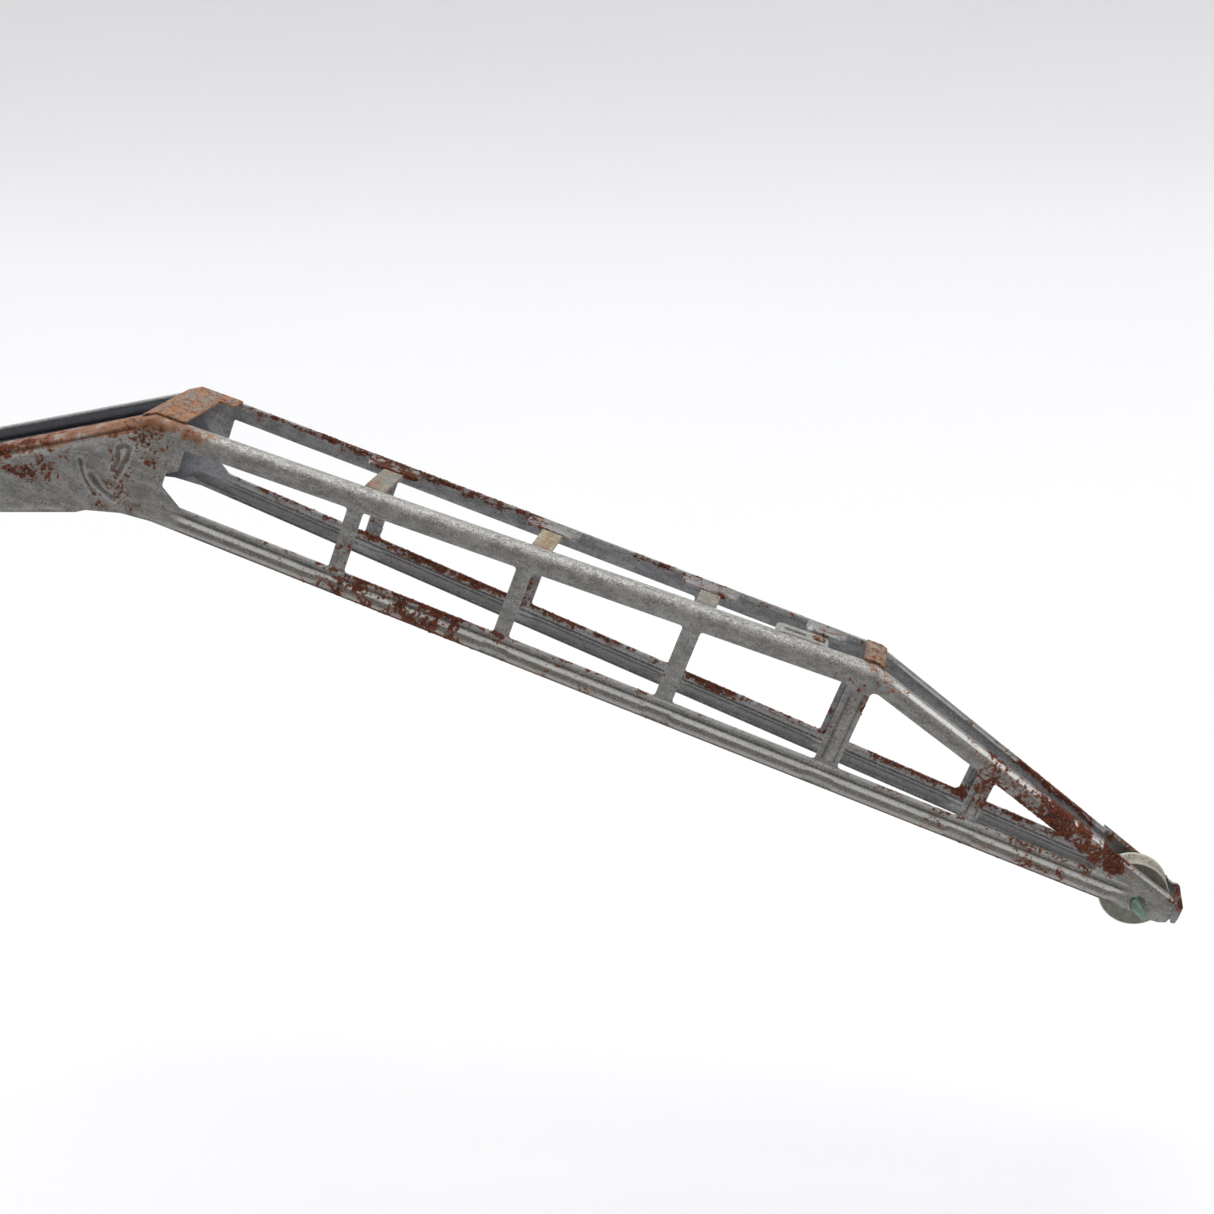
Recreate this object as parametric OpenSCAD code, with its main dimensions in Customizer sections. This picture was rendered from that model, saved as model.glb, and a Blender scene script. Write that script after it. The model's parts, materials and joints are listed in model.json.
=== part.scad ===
// Lattice jib of a toy railway crane: two pressed tin side frames that
// close in towards the head, cross straps along the open top, a grooved
// sheave on a bent wire pin, and a foot that turns on a steel axle.
// Units: millimetres. Z is up, X runs from the foot axle to the head,
// Y runs from the right frame to the left one.
// Origin: the middle of the foot axle, on its axis.
// The foot's lower edge lies along X, so the lattice slopes down to the head.

/* [Sheet] */

// Thickness of the pressed tin
sheet_t = 0.4; // [0.3:0.05:0.5]
// Radius of the rounded shoulder along the top chords
shoulder_r = 1.2; // [1.0:0.1:1.4]
// Width of the top flange along the lattice, over the shoulder
flange_w = 1.6; // [1.5:0.1:1.9]
// Width of the top flange along the foot
foot_flange_w = 2.9; // [2.4:0.1:3.4]

/* [Plan] */

// Half the width over the frames at the first upright
half_w = 7.04; // [6.8:0.02:7.6]
// Angle at which each frame closes in towards the head
taper = 2.42; // [2.3:0.02:2.5]

/* [Lattice] */

// Spacing of the uprights
bay = 20; // [19.8:0.1:20.2]
// Width of the first two uprights
upright_w = 1.82; // [1.5:0.02:2.1]
// Height of the frame at the first upright
frame_h = 12.97; // [12.8:0.01:13.2]
// Depth of the bottom chord
low_chord_h = 2.84; // [2.6:0.02:3.0]
// Depth of the top chord at the first upright
top_chord_h = 2.53; // [2.4:0.01:2.8]

/* [Foot] */

// Slope of the lattice below the foot
foot_angle = 22.6; // [20:0.2:25]
// Length of the foot behind its straight lower edge's datum
foot_len = 20; // [16:0.5:24]
// Outer radius of the axle eye in each frame
eye_r = 2.1; // [2.0:0.05:2.3]
// Diameter of the foot axle
axle_d = 2.0; // [1.8:0.1:2.2]
// Length of the foot axle
axle_len = 26; // [24:0.5:30]

/* [Head] */

// Outer radius of the sheave
sheave_r = 3.9; // [3.5:0.1:3.9]
// Width of the sheave over its two rims
sheave_w = 2.8; // [2.4:0.1:2.9]
// Diameter of the wire pin
pin_d = 1.0; // [0.85:0.05:1.0]

/* [Hidden] */

$fn = 48;
axle_clear = 0.04;
pin_clear = 0.03;

// Datum on the foot's lower edge, in lattice coordinates.
datum_x = -38.72;
datum_z = -5.88;

// Top edge of the frame: foot, lattice and head slopes.
foot_rise = 32.74;
top_rise = 2.58;
head_fall = -16.77;
apex = [-24.77, 11.85];
bend = [60.29, frame_h + 60.29 * tan(top_rise)];
head_len = 41.84;
head_top = bend + head_len * dir(head_fall);
head_flange_len = 33.2;
// How far the flange's ends run over the flat sheet beyond them.
end_lap = 0.13;

// Eye of the foot, in lattice coordinates.
eye = [datum_x, datum_z] - foot_len * dir(foot_angle)
    + eye_r * dir(foot_angle + 90);
foot_top_len = norm(apex - eye) - 3.6;
foot_top = apex - foot_top_len * dir(foot_rise);

// Uprights: centre and half width of each.
up1 = 0;
up2 = bay;
up3 = 1.985 * bay;
up4 = 2.968 * bay;
up5 = 3.821 * bay;
half1 = upright_w / 2;
half3 = 1.04;
half4 = 1.35;
half5 = 1.03;

// Sheave axis and the loose hole in the right cheek.
sheave_x = 97.5;
sheave_z = 1.15;
cheek_hole_r = 0.9;
cheek_hole = [sheave_x + 0.3, sheave_z + 0.0];
sheave_y0 = -0.85;
cheek_half = half_w - sheave_x * tan(taper);

// Rungs: left edge of each along the lattice, and their common width.
rung_w = 2.4;
rung1_x = -0.27;
rung2_x = 19.54;
rung3_x = 38.86;
rung4_x = 51.85;
strap5_x = 58.52;
lobe_d = 4.3;
anchor_x0 = 48.35;
anchor_x1 = 54.5;
rivet_x = 53.2;
rivet_y = -1.68;
slot_y = -1.9;

// Outside radius of the bushes in the axle eyes.
bush_r = axle_d / 2 + 0.26;
// Thinner end of the axle at each side.
spigot_r = 0.8;
spigot_len = 2.7;

function dir(a) = [cos(a), sin(a)];
function nrm(a) = [-sin(a), cos(a)];
function mitre(a, b) = (nrm(a) + nrm(b)) / (1 + nrm(a) * nrm(b));
function top_z(x) = frame_h + x * tan(top_rise);
function under_z(x) = frame_h - top_chord_h + x * tan(2.386);
function head_z(x) = bend[1] + (x - bend[0]) * tan(head_fall);
function head_under_z(x) = 12.99 + (x - 61.47) * tan(-16.47);
function half_at(x) = half_w - x * tan(taper);

// From lattice coordinates to the part's own frame.
module lattice()
  translate([foot_len, 0, -eye_r])
    rotate([0, foot_angle, 0])
      translate([-datum_x, 0, -datum_z])
        children();

// Working plane of one frame: outer face at y = 0, inwards is +y.
module frame_plane(side)
  lattice()
    mirror([0, side > 0 ? 1 : 0, 0])
      translate([0, -half_w, 0])
        rotate([0, 0, taper])
          children();

// Extrude a side-view shape from y0 to y1.
module slab(y0, y1)
  translate([0, y1, 0])
    rotate([90, 0, 0])
      linear_extrude(y1 - y0)
        children();

// Side view of the sheet up to d below the top edge, as far as the cheek.
module outline(d)
  polygon([
    eye + eye_r * dir(foot_angle - 96),
    [datum_x, datum_z],
    [-30.34, -2.39],
    [-29.29, -1.69],
    [-25.33, -0.43],
    [-21.78, 0],
    [97.3, 0],
    [99.2, -0.3],
    [101.0, -0.08],
    [101.75, 0.25],
    [101.97, 0.9],
    [101.8, 2.95],
    [101.3, 3.1],
    head_top,
    bend + head_flange_len * dir(head_fall),
    bend + head_flange_len * dir(head_fall) - d * nrm(head_fall),
    bend - d * mitre(top_rise, head_fall) - [0.2, 0.01],
    apex - d * mitre(foot_rise, top_rise) + [0.1, 0],
    foot_top - d * nrm(foot_rise),
    foot_top,
    foot_top - 2.0 * dir(foot_rise),
    eye
  ]);

module rounded(r)
  offset(r = r, $fn = 12)
    offset(delta = -r)
      children();

module windows() {
  rounded(0.35)
    polygon([
      [-20.35, 9.55],
      [-20.4, 6.9],
      [-21.65, 6.1],
      [-21.7, 4.4],
      [-19.1, low_chord_h - 0.1],
      [up1 - half1, low_chord_h],
      [up1 - half1, under_z(up1 - half1)]
    ]);
  window(up1 + half1, up2 - half1);
  window(up2 + half1, up3 - half3);
  window(up3 + half3, up4 - half4);
  rounded(0.5)
    polygon([
      [up4 + half4, low_chord_h],
      [up5 - half5, low_chord_h],
      [up5 - half5, head_under_z(up5 - half5)],
      [61.47, 12.99],
      [up4 + half4, 12.9]
    ]);
  rounded(0.25)
    polygon([
      [up5 + half5, low_chord_h],
      [92.9, low_chord_h + 0.15],
      [88.0, head_under_z(88.0) - 0.1],
      [up5 + half5, head_under_z(up5 + half5)]
    ]);
}

module window(x0, x1)
  rounded(0.35)
    polygon([
      [x0, low_chord_h],
      [x1, low_chord_h],
      [x1, under_z(x1)],
      [x0, under_z(x0)]
    ]);

// Section of the rounded shoulder and its flange, w wide over both.
module shoulder_section(w)
  polygon(concat(
    [[0, -shoulder_r - 0.3]],
    [for (a = [180:-15:90])
      [shoulder_r + shoulder_r * cos(a), -shoulder_r + shoulder_r * sin(a)]],
    [[w, 0], [w, -sheet_t]],
    [for (a = [90:15:180])
      [shoulder_r + (shoulder_r - sheet_t) * cos(a),
       -shoulder_r + (shoulder_r - sheet_t) * sin(a)]],
    [[sheet_t, -shoulder_r - 0.3]]
  ));

// One straight length of it, mitred at both ends.
// a and b are its ends, am and bm the mitre vectors there.
module shoulder(a, b, angle, am, bm, w) {
  deep = shoulder_r + 0.3;
  intersection() {
    slab(-1, w + 1)
      polygon([a + am, b + bm, b - 2 * deep * bm, a - 2 * deep * am]);
    translate([a[0], 0, a[1]])
      rotate([0, -angle, 0])
        translate([-3, 0, 0])
          rotate([90, 0, 90])
            linear_extrude(norm(b - a) + 6)
              shoulder_section(w);
  }
}

// A pressed bead: a low rounded rib outside, with its groove inside.
// p is its start, angle its direction, len its length, r its radius.
module bead_place(p, angle)
  translate([p[0], 0, p[1]])
    rotate([0, -angle, 0])
      children();

module bead_shape(len, r, yc) {
  run = 0.8;
  translate([0, yc, 0])
    rotate([0, 90, 0])
      rotate_extrude()
        polygon([
          [0, 0],
          [r * 0.45, 0],
          [r, run],
          [r, len - run],
          [r * 0.45, len],
          [0, len]
        ]);
}

module bead(p, angle, len, r)
  bead_place(p, angle)
    intersection() {
      bead_shape(len, r, r / 2);
      translate([-1, -r, -2 * r])
        cube([len + 2, r + sheet_t / 2, 4 * r]);
    }

module groove(p, angle, len, r)
  bead_place(p, angle)
    translate([0.25, 0, 0])
      bead_shape(len - 0.5, r - 0.38, r / 2);

// The low ribs of the bottom chord, bay by bay, and those of the foot.
module ribs(solid) {
  low_z = 1.0;
  one_rib([-23.6, low_z + 0.05], 0, 22.2, 1.0, solid);
  one_rib([up1 + 0.9, low_z], 0, bay - 1.9, 1.0, solid);
  one_rib([up2 + 0.9, low_z], 0, up3 - up2 - 1.9, 1.0, solid);
  one_rib([up3 + 1.0, low_z], 0, up4 - up3 - 2.2, 1.0, solid);
  one_rib([up4 + 1.0, low_z], 0, up5 - up4 - 2.1, 1.0, solid);
  one_rib([up5 + 1.0, low_z], 0, 95.2 - up5 - 1.0, 1.0, solid);
  // the broad uprights near the head
  one_rib([up4 - 0.05, low_chord_h + 0.2], 90, 8.9, 0.75, solid);
  one_rib([up5, low_chord_h + 0.2], 90, 4.6, 0.62, solid);
  foot_rib = foot_len + 8.4;
  one_rib(eye + (1.1 - eye_r) * nrm(foot_angle) + 3.4 * dir(foot_angle),
      foot_angle, foot_rib - 3.4, 0.95, solid);
  one_rib(apex - 1.55 * nrm(foot_rise) - (foot_top_len - 3.2) * dir(foot_rise),
      foot_rise, foot_top_len - 5.2, 0.65, solid);
  one_rib([-31.2, 4.0], -52, 3.9, 0.65, solid);
}

module one_rib(p, angle, len, r, solid)
  if (solid)
    bead(p, angle, len, r);
  else
    groove(p, angle, len, r);

// Flange lobe that a strap is fixed under, between x0 and x1.
module lobe(x0, x1) {
  c = 0.45;
  z0 = top_z((x0 + x1) / 2);
  translate([(x0 + x1) / 2, 0, z0])
    rotate([0, -top_rise, 0])
      translate([-(x0 + x1) / 2, 0, -sheet_t])
        linear_extrude(sheet_t)
          polygon([
            [x0, flange_w - 0.3],
            [x0, lobe_d - 2 * c],
            [x0 + 0.3 * c, lobe_d - c],
            [x0 + c, lobe_d - 0.3 * c],
            [x0 + 2 * c, lobe_d],
            [x1 - 2 * c, lobe_d],
            [x1 - c, lobe_d - 0.3 * c],
            [x1 - 0.3 * c, lobe_d - c],
            [x1, lobe_d - 2 * c],
            [x1, flange_w - 0.3]
          ]);
}

module frame_sheet() {
  difference() {
    union() {
      slab(0, sheet_t)
        difference() {
          union() {
            outline(shoulder_r + 0.14);
            translate(eye)
              circle(r = eye_r);
          }
          windows();
        }
      shoulder(foot_top - end_lap * dir(foot_rise), apex, foot_rise,
          nrm(foot_rise), mitre(foot_rise, top_rise), foot_flange_w);
      shoulder(apex, bend, top_rise, mitre(foot_rise, top_rise),
          mitre(top_rise, head_fall), flange_w);
      shoulder(bend, bend + (head_flange_len + end_lap) * dir(head_fall),
          head_fall, mitre(top_rise, head_fall), nrm(head_fall), flange_w);
      ribs(true);
    }
    ribs(false);
  }
}

// Cutter for the axle eyes, along the axle.
module eye_cut()
  rotate([90, 0, 0])
    cylinder(h = 40, r = bush_r, center = true);

// Right frame: the slotted lobe takes the end of the hoisting rope,
// and the loose pin hole is in its cheek.
module right_side_frame()
  color("#6a655f")
    difference() {
      frame_plane(-1) {
        frame_sheet();
        lobe(anchor_x0, anchor_x1);
      }
      lattice()
        translate([cheek_hole[0], -cheek_half - 1, cheek_hole[1]])
          rotate([-90, 0, 0])
            cylinder(h = 2, r = cheek_hole_r);
      anchor_slot();
      anchor_hole();
      eye_cut();
    }

// Slot for the rope end, with round ends.
module anchor_slot()
  lattice()
    translate([49.6, slot_y, top_z(50.5) - 2])
      rotate([0, -top_rise, 0]) {
        cylinder(h = 4, r = 0.42);
        translate([1.9, 0, 0])
          cylinder(h = 4, r = 0.42);
        translate([0, -0.4, 0])
          cube([1.9, 0.8, 4]);
      }

// Left frame: it carries the strap lobes, the tight pin hole and the nose lip.
module left_side_frame()
  color("#66646a")
    difference() {
      frame_plane(1) {
        frame_sheet();
        lobe(rung1_x - 2.2, rung1_x + rung_w + 1.9);
        lobe(rung2_x - 2.0, rung2_x + rung_w + 1.9);
        lobe(rung3_x - 2.2, rung3_x + rung_w + 2.1);
        lobe(rung4_x - 0.2, rung4_x + rung_w + 2.2);
        nose_lip();
      }
      lattice()
        translate([sheave_x, cheek_half - 1, sheave_z])
          rotate([-90, 0, 0])
            cylinder(h = 2, r = pin_d / 2);
      eye_cut();
    }

// The lip that closes the nose: it turns in from this cheek's end and
// reaches just past the other cheek.
module nose_lip() {
  lip_x = 102.4;
  lip_half = half_w - lip_x * tan(taper);
  slab(0, 2 * lip_half + 0.2)
    polygon([
      [lip_x, 0.5],
      [lip_x + 0.45, 0.62],
      [lip_x + 0.55, 1.3],
      [lip_x + 0.45, 2.8],
      [lip_x, 3.0]
    ]);
  slab(0, sheet_t)
    polygon([
      [lip_x - 1.4, 0.3],
      [lip_x + 0.1, 0.52],
      [lip_x + 0.1, 2.96],
      [lip_x - 1.4, 2.96]
    ]);
}

// A strap across the top: its ends step down under the two flanges.
// x0 is its left edge, w its width, and the underlaps are measured in y.
module strap(x0, w, right_flange, left_flange) {
  xm = x0 + w / 2;
  h = half_at(xm);
  yr = -h + right_flange;
  yl = h - left_flange;
  step = 0.45;
  lap = 0.4;
  t = sheet_t;
  u = t + 0.015;
  lattice()
    translate([xm, 0, top_z(xm)])
      rotate([0, -top_rise, 0])
        translate([w / 2, 0, 0])
          rotate([0, -90, 0])
            linear_extrude(w)
              polygon([
                [-u, yr - lap],
                [-u, yr + 0.05],
                [0, yr + step],
                [0, yl - step],
                [-u, yl - 0.05],
                [-u, yl + lap + 1.6],
                [-u - t, yl + lap + 1.6],
                [-u - t, yl - 0.2],
                [-t, yl - step - 0.15],
                [-t, yr + step + 0.15],
                [-u - t, yr + 0.2],
                [-u - t, yr - lap]
              ]);
}

module rung_1()
  color("#9a9584")
    strap(rung1_x, rung_w, flange_w, lobe_d);

module rung_2()
  color("#a89a78")
    strap(rung2_x, rung_w, flange_w, lobe_d);

module rung_3()
  color("#a29c8c")
    strap(rung3_x, rung_w, flange_w, lobe_d);

// Strap under the slotted lobe, riveted there and welded at the left.
module anchor_strap() {
  xm = rung4_x + 0.1 + 1.1;
  color("#98917f")
    difference() {
      lattice()
        translate([xm, 0, top_z(xm)])
          rotate([0, -top_rise, 0])
            translate([-1.1, rivet_y - 1.1, -2 * sheet_t - 0.015])
              cube([2.2, 5.0, sheet_t]);
      anchor_hole();
    }
}

// Hole for the anchor rivet, through the lobe and the strap.
module anchor_hole()
  rivet_place()
    translate([0, 0, -2])
      cylinder(h = 4, r = 0.45);

module rivet_place()
  lattice()
    translate([rivet_x, rivet_y, top_z(rivet_x)])
      rotate([0, -top_rise, 0])
        children();

module anchor_rivet()
  color("#a8a290")
    rivet_place() {
      translate([0, 0, -2 * sheet_t - 0.015])
        cylinder(h = 2 * sheet_t + 0.015, r = 0.45);
      rivet_head();
      translate([0, 0, -2 * sheet_t - 0.015])
        mirror([0, 0, 1])
          rivet_head();
    }

// Low rounded rivet head standing on z = 0.
module rivet_head()
  rotate_extrude()
    polygon([
      [0, 0],
      [0.75, 0],
      [0.75, 0.1],
      [0.62, 0.25],
      [0.4, 0.34],
      [0, 0.38]
    ]);

// Flat strap over the bend of the top chords.
module bend_strap() {
  x1 = bend[0];
  h = half_at(x1);
  t = 0.35;
  color("#a1927c")
    lattice()
      slab(-h + shoulder_r + 0.25, h - shoulder_r - 0.25)
        polygon([
          [strap5_x, top_z(strap5_x) + 0.01],
          [x1, bend[1] + 0.01],
          [x1 + 0.75, head_z(x1 + 0.75) + 0.01],
          [x1 + 0.75, head_z(x1 + 0.75) + t],
          [x1, bend[1] + t],
          [strap5_x, top_z(strap5_x) + t]
        ]);
}

// Plate bent over the knee, joining the two frames.
module knee_plate() {
  h = half_at(-23);
  t = 0.31;
  gap = 0.06;
  n = mitre(foot_rise, top_rise);
  a = apex - 1.75 * dir(foot_rise);
  b = [-21.4, top_z(-21.4)];
  c = [-19.6, top_z(-19.6)];
  color("#9c5a35")
    lattice() {
      slab(-h + shoulder_r + 0.1, h - shoulder_r - 0.1)
        polygon([
          a + gap * nrm(foot_rise),
          apex + gap * n,
          b + gap * nrm(top_rise),
          b + t * nrm(top_rise),
          apex + t * n,
          a + t * nrm(foot_rise)
        ]);
      slab(h - 4.2, h - shoulder_r - 0.1)
        polygon([
          b - 0.2 * dir(top_rise) + gap * nrm(top_rise),
          c + gap * nrm(top_rise),
          c + t * nrm(top_rise),
          b - 0.2 * dir(top_rise) + t * nrm(top_rise)
        ]);
    }
}

// Weld buttons left on the lobes.
module spot_welds()
  color("#8f8b80") {
    weld(rung1_x - 1.0, 2.6);
    weld(rung1_x + rung_w + 0.9, 2.3);
    weld(rung2_x - 0.9, 2.3);
    weld(rung2_x + rung_w + 0.9, 2.3);
    weld(rung3_x - 1.1, 2.3);
    weld(rung3_x + rung_w + 1.0, 2.3);
    weld(53.4, 2.9);
    weld(55.2, 2.5);
  }

module weld(x, inset)
  lattice()
    translate([x, half_at(x) - inset, top_z(x)])
      rotate([0, -top_rise, 0])
        cylinder(h = 0.1, r1 = 0.5, r2 = 0.4);

// Flanged bushes pressed into the axle eyes.
module foot_bush(side) {
  eye_half = half_w - eye[0] * tan(taper);
  color("#8d8a80")
    difference() {
      mirror([0, side > 0 ? 0 : 1, 0])
        translate([0, eye_half - 1.1, 0])
          rotate([-90, 0, 0]) {
            cylinder(h = 1.7, r = bush_r);
            translate([0, 0, 0.05])
              cylinder(h = 0.55, r = axle_d / 2 + 0.7);
          }
      rotate([90, 0, 0])
        cylinder(h = 40, r = axle_d / 2 + axle_clear, center = true);
    }
}

module right_foot_bush()
  foot_bush(-1);

module left_foot_bush()
  foot_bush(1);

// Steel axle: the frames turn on its middle, and its thinner ends stand
// out to go into the crane body.
module foot_axle() {
  mid = axle_len / 2 - spigot_len;
  end = axle_len / 2;
  color("#8b8c8e")
    rotate([90, 0, 0])
      rotate_extrude()
        polygon([
          [0, -end],
          [spigot_r - 0.2, -end],
          [spigot_r, -end + 0.2],
          [spigot_r, -mid],
          [axle_d / 2, -mid],
          [axle_d / 2, mid],
          [spigot_r, mid],
          [spigot_r, end - 0.2],
          [spigot_r - 0.2, end],
          [0, end]
        ]);
}

module sheave_axis()
  lattice()
    translate([sheave_x, sheave_y0, sheave_z])
      rotate([-90, 0, 0])
        children();

// Pressed half of the sheave: a flat rim running into the groove.
module sheave_half()
  rotate_extrude()
    polygon([
      [1.0, 0],
      [sheave_r - 0.12, 0],
      [sheave_r, 0.1],
      [sheave_r, 0.2],
      [sheave_r - 0.12, 0.32],
      [sheave_r - 0.95, 0.85],
      [sheave_r - 1.15, sheave_w / 2 - 0.005],
      [1.0, sheave_w / 2 - 0.005]
    ]);

module right_sheave_half()
  color("#8f8d78")
    sheave_axis()
      sheave_half();

module left_sheave_half()
  color("#8b8a76")
    sheave_axis()
      translate([0, 0, sheave_w])
        mirror([0, 0, 1])
          sheave_half();

// Tube that joins the halves and runs on the pin.
module sheave_bush()
  color("#7f806c")
    sheave_axis()
      rotate_extrude()
        polygon([
          [pin_d / 2 + pin_clear, -0.12],
          [1.25, -0.12],
          [1.25, 0],
          [1.0, 0],
          [1.0, sheave_w],
          [1.25, sheave_w],
          [1.25, sheave_w + 0.12],
          [pin_d / 2 + pin_clear, sheave_w + 0.12]
        ]);

// Wire pin, held in the left cheek and turned over outside the right one.
module sheave_pin() {
  r = pin_d / 2;
  y_tail = -cheek_half - 0.1 - r;
  y_out = y_tail - r - 0.05;
  y_far = cheek_half + 0.25;
  tail = 2.3;
  color("#7c9a86")
    lattice()
      translate([sheave_x, 0, sheave_z])
        rotate([0, 35, 0]) {
          translate([0, y_out, 0])
            rotate([-90, 0, 0])
              rotate_extrude()
                polygon([
                  [0, 0],
                  [r - 0.2, 0],
                  [r, 0.2],
                  [r, y_far - y_out],
                  [0, y_far - y_out]
                ]);
          translate([0, y_tail, 0])
            rotate([0, 90, 0])
              rotate_extrude()
                polygon([
                  [0, 0],
                  [r - 0.03, 0],
                  [r - 0.03, tail - 0.15],
                  [r - 0.2, tail],
                  [0, tail]
                ]);
        }
}

foot_axle();
right_foot_bush();
left_foot_bush();
right_side_frame();
left_side_frame();
knee_plate();
rung_1();
rung_2();
rung_3();
anchor_strap();
anchor_rivet();
bend_strap();
spot_welds();
sheave_pin();
right_sheave_half();
left_sheave_half();
sheave_bush();
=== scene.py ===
# %% [markdown]
# The lattice jib of an old toy railway crane, pressed from tin and rusted.
# The solid model already holds every real shape. This lesson gives it its
# looks: a worn grey skin, rust where rust sits on a real jib, pale chipped
# straps, a tarnished pin and a smooth sheave. Each cell does one thing.

# %% Load the solid model
import json
import math

import bmesh
import bpy
from mathutils import Matrix, Vector

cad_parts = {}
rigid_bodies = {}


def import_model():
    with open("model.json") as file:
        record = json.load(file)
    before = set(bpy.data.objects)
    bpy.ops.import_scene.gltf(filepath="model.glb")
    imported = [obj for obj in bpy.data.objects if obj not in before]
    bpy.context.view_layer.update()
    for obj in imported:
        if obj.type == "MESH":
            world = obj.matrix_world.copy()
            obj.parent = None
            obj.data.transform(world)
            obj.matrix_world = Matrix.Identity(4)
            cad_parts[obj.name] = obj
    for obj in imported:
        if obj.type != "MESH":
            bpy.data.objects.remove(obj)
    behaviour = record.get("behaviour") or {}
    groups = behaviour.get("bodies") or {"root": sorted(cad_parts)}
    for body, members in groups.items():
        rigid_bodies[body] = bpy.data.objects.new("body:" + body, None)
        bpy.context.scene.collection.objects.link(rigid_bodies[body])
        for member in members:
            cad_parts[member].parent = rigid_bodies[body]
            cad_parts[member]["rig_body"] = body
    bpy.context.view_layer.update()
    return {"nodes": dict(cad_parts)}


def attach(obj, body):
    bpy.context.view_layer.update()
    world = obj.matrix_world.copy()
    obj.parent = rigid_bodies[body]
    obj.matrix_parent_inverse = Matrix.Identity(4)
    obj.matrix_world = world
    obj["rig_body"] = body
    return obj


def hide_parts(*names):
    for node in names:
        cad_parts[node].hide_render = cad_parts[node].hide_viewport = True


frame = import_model()
nodes = frame["nodes"]

# %% [markdown]
# The jib's foot is level and its lattice slopes down from it. Rust and
# chips are easier to place in the lattice's own coordinates: x runs along
# it from the first upright, y across it, z square to its lower edge, all in
# millimetres. One small function turns such a point into the model's frame.
# The two frames close in on each other towards the head, and the top chord
# rises a little away from the bottom one.

# %% Lattice coordinates
MM = 0.001
SLOPE = math.radians(22.6)
COS, SIN = math.cos(SLOPE), math.sin(SLOPE)
FOOT_LENGTH, EYE_RADIUS = 20.0, 2.1
FOOT_END_X, FOOT_END_Z = -38.72, -5.88
HALF_WIDTH, TAPER = 7.04, math.tan(math.radians(2.42))
FRAME_HEIGHT, TOP_RISE = 12.97, math.tan(math.radians(2.58))
AXIS_X, AXIS_Z = 97.5, 1.15


def lattice(x, y, z):
    """The model-frame point, in metres, of a lattice point in millimetres."""
    along, up = x - FOOT_END_X, z - FOOT_END_Z
    return Vector((
        (along * COS + up * SIN + FOOT_LENGTH) * MM,
        y * MM,
        (-along * SIN + up * COS - EYE_RADIUS) * MM,
    ))


def half_at(x):
    return HALF_WIDTH - x * TAPER


def top_at(x):
    return FRAME_HEIGHT + x * TOP_RISE


print("the sheave's axis is at", lattice(AXIS_X, 0, AXIS_Z))

# %% [markdown]
# The camera stands in front of the right frame and looks down at it. Its
# turn is three angles: how far it turns left of straight ahead, how far it
# looks down, and a small roll. An aiming constraint would do as well, but
# angles stay put when the scene around the camera changes.

# %% Camera
CAMERA_AT = Vector((127.91, -198.22, 52.61)) * MM
TURN_LEFT, LOOK_DOWN, ROLL = 11.182, 18.518, -2.420

cam_data = bpy.data.cameras.new("camera")
cam_data.lens = 55.20
cam_data.sensor_width = 36.0
cam_data.clip_start = 0.01
cam_data.clip_end = 20
camera = bpy.data.objects.new("camera", cam_data)
bpy.context.scene.collection.objects.link(camera)
camera.matrix_world = (
    Matrix.Translation(CAMERA_AT)
    @ Matrix.Rotation(math.radians(TURN_LEFT), 4, "Z")
    @ Matrix.Rotation(math.radians(90 - LOOK_DOWN), 4, "X")
    @ Matrix.Rotation(math.radians(ROLL), 4, "Z"))
bpy.context.scene.camera = camera
print("camera at", tuple(round(v, 4) for v in camera.location))

# %% [markdown]
# Finishes are built from nodes, and node sums are easier to read as plain
# sums. `Val` wraps a socket, so that `1 - mask * 0.5` adds the Math nodes
# it needs.

# %% Shader helpers: sums
class Val:
    """A number socket that can be added, taken away, multiplied or divided."""

    def __init__(self, graph, socket):
        self.graph, self.socket = graph, socket

    def _math(self, operation, a, b):
        return self.graph.add(
            "ShaderNodeMath", {"operation": operation}, {0: a, 1: b})

    def __add__(self, other):
        return self._math("ADD", self, other)

    def __radd__(self, other):
        return self._math("ADD", other, self)

    def __sub__(self, other):
        return self._math("SUBTRACT", self, other)

    def __rsub__(self, other):
        return self._math("SUBTRACT", other, self)

    def __mul__(self, other):
        return self._math("MULTIPLY", self, other)

    def __rmul__(self, other):
        return self._math("MULTIPLY", other, self)

    def __truediv__(self, other):
        return self._math("DIVIDE", self, other)

    def __rtruediv__(self, other):
        return self._math("DIVIDE", other, self)

    def __abs__(self):
        return self._math("ABSOLUTE", self, 0.0)

    def least(self, other):
        return self._math("MINIMUM", self, other)

    def most(self, other):
        return self._math("MAXIMUM", self, other)

    def ramp(self, low, high):
        """0 at low, 1 at high, smooth between, where low may be the larger."""
        return self.graph.add(
            "ShaderNodeMapRange",
            {"interpolation_type": "SMOOTHSTEP", "clamp": True},
            {"Value": self, "From Min": low, "From Max": high,
             "To Min": 0.0, "To Max": 1.0})


print("sums ready")

# %% [markdown]
# `Graph` adds every other kind of node, to a material, the sky or a
# modifier, by one method. Colours are blended by a Mix node, because a Math
# node would turn them grey.

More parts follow.
